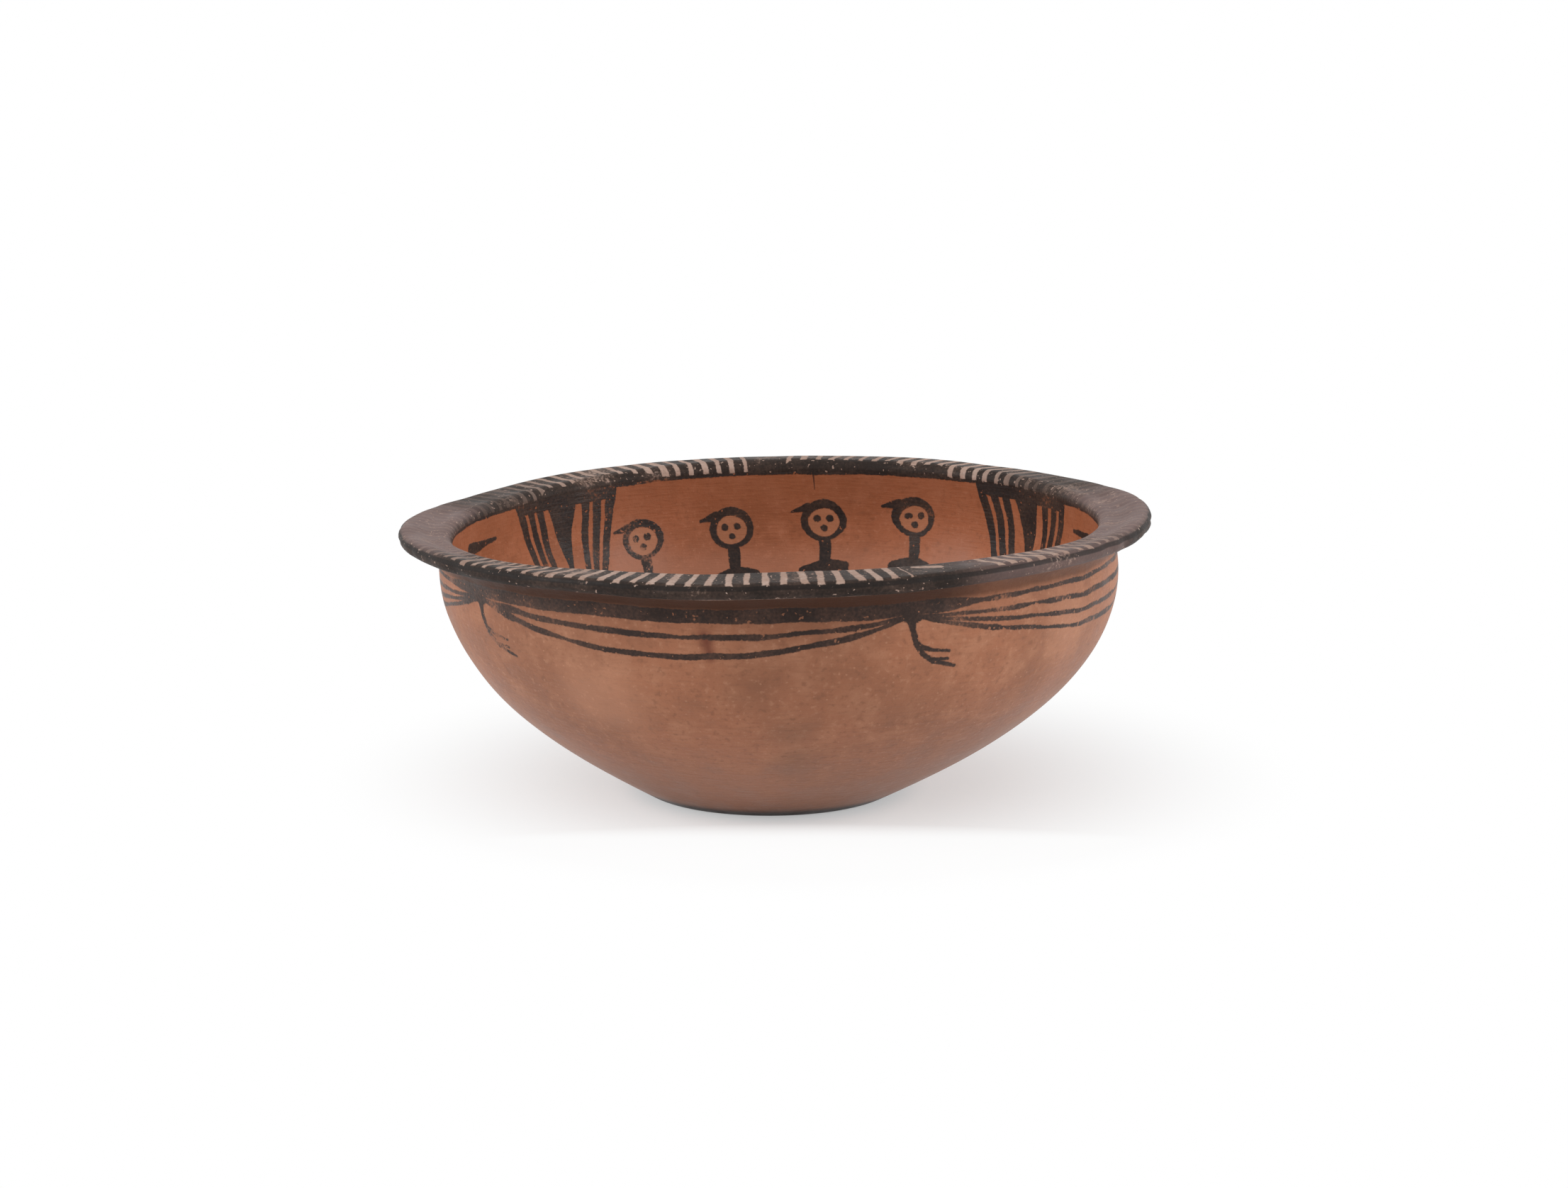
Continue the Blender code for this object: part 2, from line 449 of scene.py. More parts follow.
# The floor lies below all the painted marks, so its level is just its height
floor_middle = (0.0, BASE_THICKNESS, BASE_THICKNESS)
floor_edge = (FLOOR_EDGE, BASE_THICKNESS, BASE_THICKNESS)
bevel_edge = (FLOOR_EDGE + LAP, 0.0, 0.0)
clay_piece(
    "base_disc",
    [
        Skin(painted_inside, straight(floor_middle, floor_edge, FLOOR_ROWS), inside=True),
        Skin(bare_clay, straight(floor_edge, bevel_edge, JOINT_ROWS)),
        Skin(bare_clay, straight(bevel_edge, (0.0, 0.0, 0.0), FLOOR_ROWS)),
    ],
    closed=False,
)


# Foot coil
# The first coil of the same clay, luted round the disc's bevel. Inside, it sweeps up from the floor
# into the wall, and below it is smoothed out to the rounded foot that the pot stands on.

BASE_RADIUS = 0.0465
NECK_RADIUS = 0.1307
NECK_HEIGHT = 0.0905
WALL_THICKNESS = 0.006
FOOT_ANGLE = math.radians(28.8)
FOOT_PULL = 0.0397
NECK_PULL = 0.0452
CURVE_SAMPLES = 240
FOOT_ROUND = 0.012
FOOT_ROWS = 8
FIRST_SEAM = 0.026
ROW_PITCH = 0.002
FEWEST_ROWS = 3


def outside_curve():
    """Points up the outside of the wall as rows of radius and height, from foot to neck."""
    foot = Vector((BASE_RADIUS, 0.0))
    neck = Vector((NECK_RADIUS, NECK_HEIGHT))
    foot_handle = foot + FOOT_PULL * Vector((math.cos(FOOT_ANGLE), math.sin(FOOT_ANGLE)))
    neck_handle = neck - Vector((0.0, NECK_PULL))
    points = interpolate_bezier(foot, foot_handle, neck_handle, neck, CURVE_SAMPLES)
    return np.array([point[:] for point in points])


OUTSIDE = outside_curve()
RUNS = np.concatenate([[0.0], np.cumsum(np.linalg.norm(np.diff(OUTSIDE, axis=0), axis=1))])
STEPS = np.gradient(OUTSIDE, axis=0)
SLOPES = np.arctan2(STEPS[:, 1], STEPS[:, 0])
INSIDE = OUTSIDE + WALL_THICKNESS * np.stack([-np.sin(SLOPES), np.cos(SLOPES)], axis=1)
NECK_RUN = RUNS[-1]

# The floor sweeps up into the wall on an arc that is level at the floor's edge
SWEEPS = (INSIDE[:, 1] - BASE_THICKNESS) / (1 - np.cos(SLOPES))
SWEEP_EDGES = INSIDE[:, 0] - SWEEPS * np.sin(SLOPES)
SWEEP_END = np.argmax((SWEEPS > 0) & (SWEEP_EDGES <= FLOOR_EDGE))
SWEEP_RADIUS = SWEEPS[SWEEP_END]
SWEEP_SLOPE = SLOPES[SWEEP_END]
SWEEP_RUN = RUNS[SWEEP_END]


def wall_level(run):
    """Level on the wall, which is the plain height from the neck up."""
    return NECK_HEIGHT + run - NECK_RUN


def curve_point(run, curve):
    """Radius, height and level at a run up one side of the wall, straight on above the neck."""
    if run > NECK_RUN:
        return (curve[-1, 0], wall_level(run), wall_level(run))
    radius, height = (float(np.interp(run, RUNS, column)) for column in curve.T)
    return (radius, height, wall_level(run))


def outside_point(run):
    """The same on the outside."""
    return curve_point(run, OUTSIDE)


def inside_point(run):
    """The same on the inside, which starts with the floor's sweep."""
    if run < 0:
        return (FLOOR_EDGE + run, BASE_THICKNESS, wall_level(run))
    if run < SWEEP_RUN:
        turn = SWEEP_SLOPE * run / SWEEP_RUN
        rise = SWEEP_RADIUS * (1 - math.cos(turn))
        return (FLOOR_EDGE + SWEEP_RADIUS * math.sin(turn), BASE_THICKNESS + rise, wall_level(run))
    return curve_point(run, INSIDE)


def arc(centre, radius, start, end, levels, count):
    """Points on an arc of section, with a ghost past each end; angles are in degrees from outward."""
    step = math.copysign(math.degrees(GHOST / radius), end - start)
    turns = np.radians([start - step, *np.linspace(start, end, count), end + step])
    rises = np.interp(turns, sorted(np.radians((start, end))), levels if start < end else levels[::-1])
    return [
        (centre[0] + radius * math.cos(turn), centre[1] + radius * math.sin(turn), rise)
        for turn, rise in zip(turns, rises)
    ]


def run_rows(start, end):
    """Runs of the rows from start to end of a skin, with a ghost past each end."""
    ghost = math.copysign(GHOST, end - start)
    count = max(FEWEST_ROWS, round(abs(end - start) / ROW_PITCH))
    return [start - ghost, *np.linspace(start, end, count + 1), end + ghost]


def outer_skin(start, end):
    """Painted outside of the wall between two runs."""
    return Skin(painted_outside, [outside_point(run) for run in run_rows(start, end)])


def inner_skin(start, end):
    """Painted inside of the wall between two runs."""
    return Skin(painted_inside, [inside_point(run) for run in run_rows(start, end)], inside=True)


def joint(start, end):
    """Lap face from one skin to the other, hidden between two pieces."""
    return Skin(bare_clay, straight((*start[:2], 0.0), (*end[:2], 0.0), JOINT_ROWS))


# This finish goes up the whole outside, and gets its nodes where the outside is painted
painted_outside = bpy.data.materials.new("painted_outside")

foot_tangent = FOOT_ROUND * math.tan(FOOT_ANGLE / 2)
foot_middle = (BASE_RADIUS - foot_tangent, FOOT_ROUND)
foot_turn = -90 + math.degrees(FOOT_ANGLE)
foot_levels = (wall_level(foot_tangent), wall_level(-foot_tangent))
standing_edge = (BASE_RADIUS - foot_tangent, 0.0, 0.0)
clay_piece(
    "wall_coil_1",
    [
        outer_skin(FIRST_SEAM, foot_tangent),
        Skin(painted_outside, arc(foot_middle, FOOT_ROUND, foot_turn, -90, foot_levels, FOOT_ROWS)),
        Skin(bare_clay, straight(standing_edge, bevel_edge, JOINT_ROWS)),
        joint(bevel_edge, floor_edge),
        inner_skin(0.0, FIRST_SEAM - LAP),
        joint(inside_point(FIRST_SEAM - LAP), outside_point(FIRST_SEAM)),
    ],
)


# Wall coils
# Six more coils of clay, each luted on the one below with a slanted lap, low on the inside and high
# on the outside, then pinched and scraped together until no seam shows on either skin.

COIL_COUNT = 7
COURSE = (NECK_RUN - FIRST_SEAM) / (COIL_COUNT - 1)

for number in range(2, COIL_COUNT + 1):
    low = FIRST_SEAM + (number - 2) * COURSE
    high = low + COURSE
    clay_piece(
        f"wall_coil_{number}",
        [
            outer_skin(high, low),
            joint(outside_point(low), inside_point(low - LAP)),
            inner_skin(low - LAP, high - LAP),
            joint(inside_point(high - LAP), outside_point(high)),
        ],
    )


# Painted inside
# The inside is scraped smooth and painted with a brush in dark slip, a thin wash of iron-rich clay,
# before the fire: a row of simple standing figures, parted by bundles of fanned lines, over two
# rings that run round low on the wall. Places are in degrees from the back, sizes in millimetres.

INSIDE_CLAY = {"Warm": linear(168, 102, 69), "Smoked": linear(134, 82, 55), "Pale": linear(184, 122, 92)}
INSIDE_SLIP = (linear(36, 28, 26), linear(66, 50, 42))
INSIDE_DENSITY = 1.0
# Painted shade: darker clay high on the inside, under the rim
UPPER_SHADE_COLOUR = linear(134, 76, 46)
# Painted light: paler clay low on the inside
LOWER_LIGHT_COLOUR = linear(193, 137, 111)
SCUFF_COLOUR = linear(178, 132, 112)
CRACK_COLOUR = linear(48, 28, 20)
FACE_COLOUR = linear(186, 134, 102)
INSIDE_MM_PER_DEGREE = 2.147
INSIDE_WANDER = {"Size": 20.0, "Reach": 1.6}


BRUSH_EDGE_SIZE = 9.0
BRISTLE_SIZE = 1.2
BRISTLE_SHARE = 0.9
EDGE_SOFTNESS = 0.28
RUBBED_SIZE = 16.0
FLECK_SIZE = 1.1
FLECK_WEAR = 0.55
WORN_FADE = (0.94, 1.2, 0.0, 0.85)
CHIP_SIZE = 1.6
CHIP_WEAR = 0.5
CHIP_FADE = (0.70, 0.76, 0.0, 0.8)
THIN_RUBBED = 0.6
THIN_FLECKS = 0.4
THIN_FADE = (0.38, 0.66)


def brushed_slip_group():
    """Slip laid on with a brush: turns a distance from a stroke's edge into how well it covers."""
    group, given, out = new_group(
        "brushed_slip",
        [("Distance", "number"), ("Wear", "number")],
        [("Cover", "number"), ("Thin", "number")],
    )
    edge = grain_amount(group, BRUSH_EDGE_SIZE, 1.0) - 0.5
    edge = edge + (grain_amount(group, BRISTLE_SIZE) - 0.5) * BRISTLE_SHARE
    cover = (Amount(group, given.outputs["Distance"]) + edge).ramp(EDGE_SOFTNESS, -EDGE_SOFTNESS)
    rubbed = grain_amount(group, RUBBED_SIZE, 5.0)
    flecks = grain_amount(group, FLECK_SIZE)
    wear = Amount(group, given.outputs["Wear"])
    worn = (rubbed + flecks * FLECK_WEAR + wear).ramp(*WORN_FADE)
    chips = (grain_amount(group, CHIP_SIZE, 1.0) + wear * CHIP_WEAR).ramp(*CHIP_FADE)
    feed(group, out.inputs["Cover"], cover * (1.0 - worn) * (1.0 - chips))
    feed(group, out.inputs["Thin"], (rubbed * THIN_RUBBED + flecks * THIN_FLECKS).ramp(*THIN_FADE))
    return group


def hand_wander_group():
    """How far, in millimetres, a hand strays across and up from the line that it means to draw."""
    group, given, out = new_group(
        "hand_wander",
        [("Size", "number"), ("Reach", "number")],
        [("Across", "number"), ("Up", "number")],
    )
    cloud = grain(group, 1.0, 1.0)
    scale = Amount(group, given.outputs["Size"]) * MILLIMETRE
    feed(group, cloud.inputs["Scale"], scale.step("POWER", -1.0))
    parts = added(group, "SeparateXYZ", {"Vector": cloud.outputs["Color"]})
    for socket, stray in zip(("Across", "Up"), amounts(parts, "X", "Y")):
        feed(group, out.inputs[socket], (stray - 0.5) * 2.0 * given.outputs["Reach"])
    return group


brushed_slip = brushed_slip_group()
hand_wander = hand_wander_group()


def brushed(tree, distance, wear):
    """How well the slip of these strokes covers, and where it lies thin."""
    return amounts(placed(tree, brushed_slip, {"Distance": distance, "Wear": wear}), "Cover", "Thin")


def strayed(tree, wander):
    """How far the hand strays across and up, as two amounts."""
    return amounts(placed(tree, hand_wander, wander), "Across", "Up")


def paint_place(tree):
    """Degrees round the pot and millimetres up its skin, as two amounts."""
    place = added(tree, "UVMap", {}, uv_map="paint_place")
    return amounts(added(tree, "SeparateXYZ", {"Vector": place.outputs["UV"]}), "X", "Y")


def spot_at(tree, across, up):
    """A spot on the skin, to measure strokes from."""
    return added(tree, "CombineXYZ", {"X": across, "Y": up}).outputs["Vector"]


def vector_step(tree, operation, first, second, output):
    """Outcome of one step of arithmetic on two vectors, or on a vector and its scale."""
    second_place = "Scale" if operation == "SCALE" else 1
    node = added(tree, "VectorMath", {0: first, second_place: second}, operation=operation)
    return node.outputs[output]


def dot_mark(tree, spot, middle, half):
    """Distance from the edge of a round dot, below nothing inside it."""
    return Amount(tree, vector_step(tree, "DISTANCE", spot, (*middle, 0.0), "Value")) - half


def stroke(tree, spot, start, end, start_half, end_half):
    """Distance from the edge of a brush stroke that widens or thins from start to end."""
    way = Vector((*end, 0.0)) - Vector((*start, 0.0))
    gone = vector_step(tree, "SUBTRACT", spot, (*start, 0.0), "Vector")
    along = vector_step(tree, "DOT_PRODUCT", gone, way / way.length_squared, "Value")
    share = Amount(tree, along).step("ADD", 0.0)
    share.socket.node.use_clamp = True
    on_line = vector_step(tree, "SCALE", way, share, "Vector")
    away = Amount(tree, vector_step(tree, "DISTANCE", gone, on_line, "Value"))
    return share.step("MULTIPLY_ADD", start_half - end_half, away) - start_half


def patch_marks(tree, spot, mm_per_degree, patches):
    """Distance from round patches, each with its degrees, its level and half its width."""
    return nearest(*[dot_mark(tree, spot, (at * mm_per_degree, up), half) for at, up, half in patches])


def nearest(*marks):
    """All these marks together, as the distance from the nearest one."""
    return reduce(lambda one, other: one.step("MINIMUM", other), marks)


def only_within(*marks):
    """What all these marks have in common."""
    return reduce(lambda one, other: one.step("MAXIMUM", other), marks)


# A dot is its middle and half its width; a stroke is its two ends and half its width at each
HEAD = ((0.0, 0.0), 9.5)
FACE = ((0.0, -0.8), 6.4)
EYE = ((2.7, 0.7), 1.65)
MOUTH = ((0.0, -3.5), 1.6)
TUFT = ((-6.5, 6.0), (-13.0, 4.8), 2.2, 0.6)
THIN_NECK = ((0.0, -9.8), (0.0, -19.0), 2.6, 2.4)
SHOULDER = ((0.0, -20.6), (8.8, -22.4), 2.9, 1.9)
ARM = ((8.8, -22.4), (11.2, -36.0), 1.7, 1.1)
FOOT = ((2.6, -47.0), (4.2, -52.5), 1.3, 1.0)
FIGURE_PITCH = 18.0
FIRST_FIGURE = 8.7
HEAD_LEVEL = 82.6
HEAD_WAVE = 3.8
HEAD_WAVES = 3.0
WAIST_DROP = 34.5
WAIST_HALF = 2.6
WAIST_FLARE = 0.34
BODY_HALF = 13.2


def figure_marks(tree, across, up):
    """One figure about its head's middle: ring head, dots for a face, waisted body and feet."""
    spot = spot_at(tree, across, up)
    either_side = spot_at(tree, abs(across), up)
    face = dot_mark(tree, spot, *FACE)
    ring = only_within(dot_mark(tree, spot, *HEAD), face * -1.0)
    dots = [dot_mark(tree, either_side, *EYE), dot_mark(tree, spot, *MOUTH)]
    singles = [stroke(tree, spot, *mark) for mark in (TUFT, THIN_NECK)]
    pairs = [stroke(tree, either_side, *mark) for mark in (SHOULDER, ARM, FOOT)]
    off_waist = abs(up + WAIST_DROP)
    body = only_within(abs(across) - WAIST_HALF - off_waist * WAIST_FLARE, off_waist - BODY_HALF)
    return nearest(ring, body, *dots, *singles, *pairs), face


def figure_row(tree, angle, level, stray_across, stray_up):
    """The figures all the way round, on a wavy line."""
    wave = (angle * math.radians(HEAD_WAVES)).step("SINE")
    across = ((angle - FIRST_FIGURE + FIGURE_PITCH / 2) % FIGURE_PITCH) - FIGURE_PITCH / 2
    return figure_marks(
        tree,
        across * INSIDE_MM_PER_DEGREE + stray_across,
        level - HEAD_LEVEL - wave * HEAD_WAVE + stray_up,
    )


SIDE_FIELDS = ((-62.8, 27.0), (63.2, 27.0))
FRONT_FIELD = 18.0


def fields_for_bundles(angle):
    """Above nothing where the figures leave room for a bundle and the leaf beside it."""
    fields = [half - abs(angle - middle) for middle, half in SIDE_FIELDS]
    fields.append(abs(angle) - (180.0 - FRONT_FIELD))
    return only_within(*fields) * INSIDE_MM_PER_DEGREE


BUNDLES = (-44.8, 54.2, 180.2)
BUNDLE_HALF = 14.6
BUNDLE_TOP = 105.0
BUNDLE_FALL = 57.0
BUNDLE_TAPER = 0.0095
LINE_START = 9.7
LINE_PITCH = 6.6
LINE_HALF = 2.25
LINES_FROM = 10.0
LINES_TO = 29.4
WEDGE_HALF = 8.8
WEDGE_TAPER = 0.2
CAP_FALL = 5.6
CAP_HALF = 27.0


def bundle_marks(across, drop):
    """A bundle of lines that fan out upwards on both sides of a dark wedge."""
    side = abs(across.step("DIVIDE", 1.0 - drop * BUNDLE_TAPER))
    lines = abs((side - LINE_START) % LINE_PITCH - LINE_PITCH / 2) - LINE_HALF
    lines = only_within(lines, LINES_FROM - side, side - LINES_TO)
    wedge = side - WEDGE_HALF + drop * WEDGE_TAPER
    cap = only_within(drop - CAP_FALL, side - CAP_HALF)
    return nearest(lines, wedge, cap)


def bundle_row(angle, level, stray_across, stray_up):
    """The three bundles: one at each side of the back and one at the front."""
    left, right, front = BUNDLES
    middle = (angle > (left + right) / 2) * (right - left) + left
    middle = (angle > (right + front) / 2) * (front - right) + middle
    middle = middle - (1.0 - (angle > (left + front - 360) / 2)) * (left - front + 360)
    off_middle = angle - middle
    bundles = bundle_marks(off_middle * INSIDE_MM_PER_DEGREE + stray_across, BUNDLE_TOP - level)
    off_half_way = abs(level + stray_up - (BUNDLE_TOP - BUNDLE_FALL / 2))
    within_side = (abs(off_middle) - BUNDLE_HALF) * INSIDE_MM_PER_DEGREE
    return only_within(bundles, off_half_way - BUNDLE_FALL / 2, within_side)


LEAF = ((-14.0, 92.6), (10.0, 92.0), 0.9, 3.0)
LEAF_MIDDLE = 2.5
LEAF_ANGLE = 74.5
THROAT_LINE = 104.0
THROAT_WANDER = 0.4
RING_LEVEL = 19.0
RING_APART = 2.8
RING_HALF = 1.0
RING_WANDER = 0.6
RUBBED_FIGURE = -27.3
FIGURE_WEAR = (7.0, 12.0, 0.12, 0.01)
# Painted shade high on the inside, under the rim
UPPER_SHADE_FADE = (76.0, 102.0, 0.0, 0.5)
# Painted light low on the inside
LOWER_LIGHT_FADE = (78.0, 62.0, 0.0, 0.42)
SCUFFS = ((-30.0, 70.0, 17.0), (37.0, 64.0, 15.0), (150.0, 60.0, 20.0))
SCUFF_WANDER = 3.0
SCUFF_FADE = (6.0, -12.0, 0.0, 0.4)
CRACK = ((0.0, 106.0), (0.0, 97.5), 0.5, 0.1)
CRACK_ANGLE = 7.3
CRACK_WANDER = 1.5
CRACK_FADE = (0.25, -0.1, 0.0, 0.8)
FACE_FADE = (0.6, -0.6, 0.0, 0.35)
SLIP_PROUD = 0.12
SLIP_SMOOTHER = 0.10


def lay_slip(tree, shader, body, clay, paint, cover, density, smoother=SLIP_SMOOTHER, depth=CLAY_DEPTH):
    """Covers the clay with slip, which is a little smoother and stands a little proud."""
    tree.links.new(mixed(tree, cover * density, clay, paint), shader.inputs["Base Color"])
    feed(tree, shader.inputs["Roughness"], Amount(tree, body.outputs["Roughness"]) - cover * smoother)
    height = Amount(tree, body.outputs["Height"]) + cover * SLIP_PROUD
    raise_surface(tree, shader, height, depth)


def paint_inside(finish):
    """Clay with painted shade under the rim and painted light low down, scuffed and cracked, and its
    marks.
    """
    tree, shader = dull_shader(finish)
    body = placed(tree, fired_clay, INSIDE_CLAY)
    angle, level = paint_place(tree)
    stray_across, stray_up = strayed(tree, INSIDE_WANDER)

    fields = fields_for_bundles(angle)
    figures, faces = figure_row(tree, angle, level, stray_across, stray_up)
    bundles = bundle_row(angle, level, stray_across, stray_up)
    leaf_across = (abs(angle - LEAF_MIDDLE) - LEAF_ANGLE) * INSIDE_MM_PER_DEGREE
    leaf_spot = spot_at(tree, leaf_across, level + stray_up)
    leaves = stroke(tree, leaf_spot, *LEAF)
    rings = abs(abs(level + stray_up * RING_WANDER - RING_LEVEL) - RING_APART) - RING_HALF
    throat = THROAT_LINE - level - stray_up * THROAT_WANDER
    marks = nearest(only_within(figures, fields), bundles, rings, leaves, throat)
    cover, thin = brushed(tree, marks, abs(angle - RUBBED_FIGURE).ramp(*FIGURE_WEAR))

    along = angle * INSIDE_MM_PER_DEGREE + stray_across * SCUFF_WANDER
    scuff_spot = spot_at(tree, along, level + stray_up * SCUFF_WANDER)
    scuffs = patch_marks(tree, scuff_spot, INSIDE_MM_PER_DEGREE, SCUFFS)
    beside = (angle - CRACK_ANGLE) * INSIDE_MM_PER_DEGREE + stray_across * CRACK_WANDER
    crack = stroke(tree, spot_at(tree, beside, level), *CRACK)
    layers = (
        # Painted shade under the rim, then painted light low down
        (level.ramp(*UPPER_SHADE_FADE), UPPER_SHADE_COLOUR),
        (level.ramp(*LOWER_LIGHT_FADE), LOWER_LIGHT_COLOUR),
        (scuffs.ramp(*SCUFF_FADE), SCUFF_COLOUR),
        (crack.ramp(*CRACK_FADE), CRACK_COLOUR),
        (only_within(faces, fields).ramp(*FACE_FADE), FACE_COLOUR),
    )
    clay = layered(tree, body.outputs["Color"], layers)
    lay_slip(tree, shader, body, clay, mixed(tree, thin, *INSIDE_SLIP), cover, INSIDE_DENSITY)


paint_inside(painted_inside)


# Painted outside
# The outside is scraped and lightly burnished, and smoked grey-brown low down by the open fire. The
# same slip is brushed on below the rim: a broad band, lines hung under it in swags, two at the front
# and three elsewhere, and a sprig at each knot. Places are in degrees from the front.

OUTSIDE_CLAY = {"Warm": linear(158, 103, 75), "Smoked": linear(124, 82, 60), "Pale": linear(178, 128, 100)}
OUTSIDE_SLIP = (linear(38, 27, 23), linear(76, 54, 44))
OUTSIDE_DENSITY = 0.98
SMOKE_COLOUR = linear(142, 100, 78)
# Painted light: pale patches high on both sides of the wall, where side light falls
SIDE_LIGHT_COLOUR = linear(190, 137, 108)
# Painted shade: darker patches low on the front of the wall
FRONT_SHADE_COLOUR = linear(112, 82, 64)
# Painted shadow: near black round the foot, where the basin meets the floor
FOOT_SHADOW_COLOUR = linear(26, 15, 11)
STAIN_COLOUR = linear(92, 40, 28)
# A brown wash with painted shade in it, under the rim where the flange overhangs the neck
WASH_AND_SHADE_COLOUR = linear(62, 34, 19)
BURNISH = 0.16
BURNISH_ROUGHNESS = 0.4
OUTSIDE_MM_PER_DEGREE = 2.28
OUTSIDE_WANDER = {"Size": 30.0, "Reach": 1.4}

KNOTS = (-57.4, 21.3, 117.0, 210.0)
KNOT_LEVEL = 91.8
KNOT_HALF = 2.6
KNOT_NARROWING = 0.6
SPRIG_WANDER = 0.6
SPRIG = (
    ((-0.8, 2.0), (-0.3, -5.0), 2.6, 1.3),
    ((-0.3, -5.0), (0.8, -10.0), 1.3, 1.2),
    ((0.8, -10.0), (3.4, -14.2), 1.2, 1.1),
    ((3.4, -14.2), (8.0, -17.6), 1.1, 1.0),
    ((8.0, -17.6), (17.6, -20.4), 1.0, 0.5),
    ((1.6, -11.2), (7.4, -13.2), 1.0, 0.9),
    ((7.4, -13.2), (14.6, -14.2), 0.9, 0.5),
    ((7.0, -16.8), (14.2, -17.2), 0.9, 0.5),
)


def from_last_knot(angle):
    """Degrees from the last knot, and degrees from it to the next one."""
    gaps = [after - knot for knot, after in zip(KNOTS, (*KNOTS[1:], KNOTS[0] + 360.0))]
    turned = angle + (1.0 - (angle > KNOTS[0])) * 360.0
    before = KNOTS[0]
    gap = gaps[0]
    for knot, last, following in zip(KNOTS[1:], gaps, gaps[1:]):
        passed = turned > knot
        before = passed * last + before
        gap = passed * (following - last) + gap
    return turned - before, gap


FRONT_GAP = KNOTS[1] - KNOTS[0]
SIDE_GAPS_FROM = FRONT_GAP + 1.0
FRONT_SAGS = (5.2, 12.8)
SIDE_SAGS = (3.0, 8.0, 12.8)
SWAG_SWELL_SIZE = 22.0
SWAG_HALF = (0.3, 0.7, 0.85, 1.35)
SIDE_THINNING = 0.2
FAR_OFF = 50.0


def swag_marks(tree, hang, fallen, at_side):
    """Lines hung from knot to knot, which swell and thin as the brush goes."""
    front = nearest(*[abs(fallen - hang * sag) for sag in FRONT_SAGS]) + at_side * FAR_OFF
    side = nearest(*[abs(fallen - hang * sag) for sag in SIDE_SAGS]) + (1.0 - at_side) * FAR_OFF
    half = grain_amount(tree, SWAG_SWELL_SIZE, 1.0).ramp(*SWAG_HALF)
    return nearest(front, side) - half + at_side * SIDE_THINNING


BAND_LEVEL = 94.9
BAND_HALF = 2.7
BAND_SAG = 0.4
BAND_WANDER = 0.7
BAND_THINNING = (5.0, 14.0, 0.0, 1.7)
PAST_KNOT = (4.0, 16.0)
PAST_KNOT_WEAR = 0.08
RUBBED_SPRIG = KNOTS[0] + 3.0
RUBBED_HALF = 5.5
RUBBED_TOP = 88.5
SPRIG_WEAR = (2.0, -3.0, 0.03, 0.24)
SMOKE_SIZE = 45.0
SMOKE_REACH = 40.0
SMOKE_FADE = (10.0, 66.0, 0.5, 0.0)
# Painted highlights: degrees, level and half the width of each pale patch high at the sides
SIDE_LIGHT_PATCHES = ((-32.0, 57.0, 17.0), (56.0, 77.0, 12.0))
SIDE_LIGHT_FADE = (12.0, -12.0, 0.0, 0.42)
# Painted shade: degrees, level and half the width of each darker patch low at the front
FRONT_SHADE_PATCHES = ((3.5, 24.0, 9.0), (2.0, 45.0, 7.0))
FRONT_SHADE_FADE = (10.0, -8.0, 0.0, 0.38)
PATCH_WANDER = 5.0
FOOT_LEVEL = (NECK_HEIGHT - NECK_RUN) / MILLIMETRE
# Painted shadow round the foot, fading upward from where the basin stands
FOOT_SHADOW_FADE = (FOOT_LEVEL + 4.2, FOOT_LEVEL + 12.0, 0.96, 0.0)
STAIN = ((0.0, 87.0), (1.0, 79.0), 1.6, 0.8)
STAIN_ANGLE = -12.0
STAIN_WANDER = 2.0
STAIN_FADE = (2.4, -1.5, 0.0, 0.75)
# Brown wash and painted shade under the rim, fainter past the side knots
WASH_AND_SHADE_FADE = (95.0, 98.0, 0.0, 0.94)
WASH_AND_SHADE_LOST = 0.40


